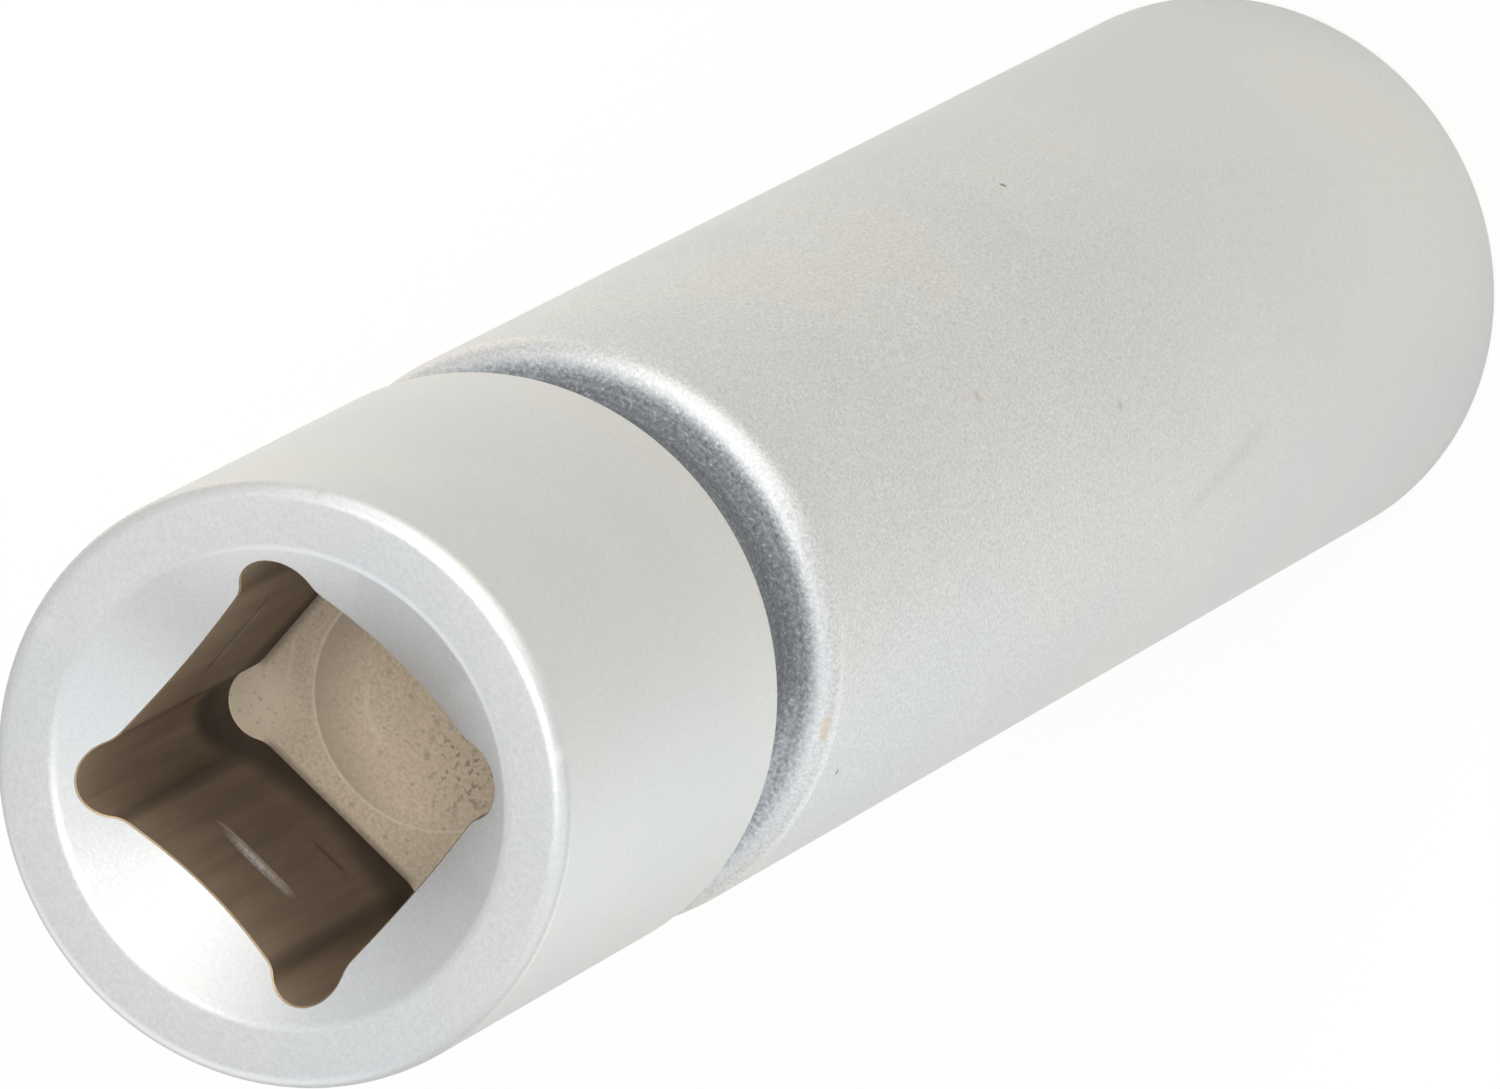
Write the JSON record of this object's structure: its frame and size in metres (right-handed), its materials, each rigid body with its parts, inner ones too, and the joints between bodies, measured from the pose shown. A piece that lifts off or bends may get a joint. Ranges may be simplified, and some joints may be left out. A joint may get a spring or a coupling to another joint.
{
  "type": "spark plug socket",
  "caption": "Deep spark plug socket in satin chrome steel: countersunk square drive with corner reliefs, turned groove with a round lip, hexagon mouth and a rubber grip.",
  "frame": {"origin": "centre of the open end's face, on the surface that the socket stands on", "axes": "+Z along the socket's axis towards the drive face; the square's flats face +X, -X, +Y and -Y, and two flats of the hexagon face +Y and -Y"},
  "size_m": [0.0184, 0.0184, 0.0793],
  "materials": {
    "satin_chrome": "pearl satin chrome plating, bare tan steel inside the square",
    "black_rubber": "matt black moulded rubber"
  },
  "bodies": {
    "root": {"socket_body": "satin_chrome", "rubber_insert": "black_rubber"}
  },
  "joints": []
}
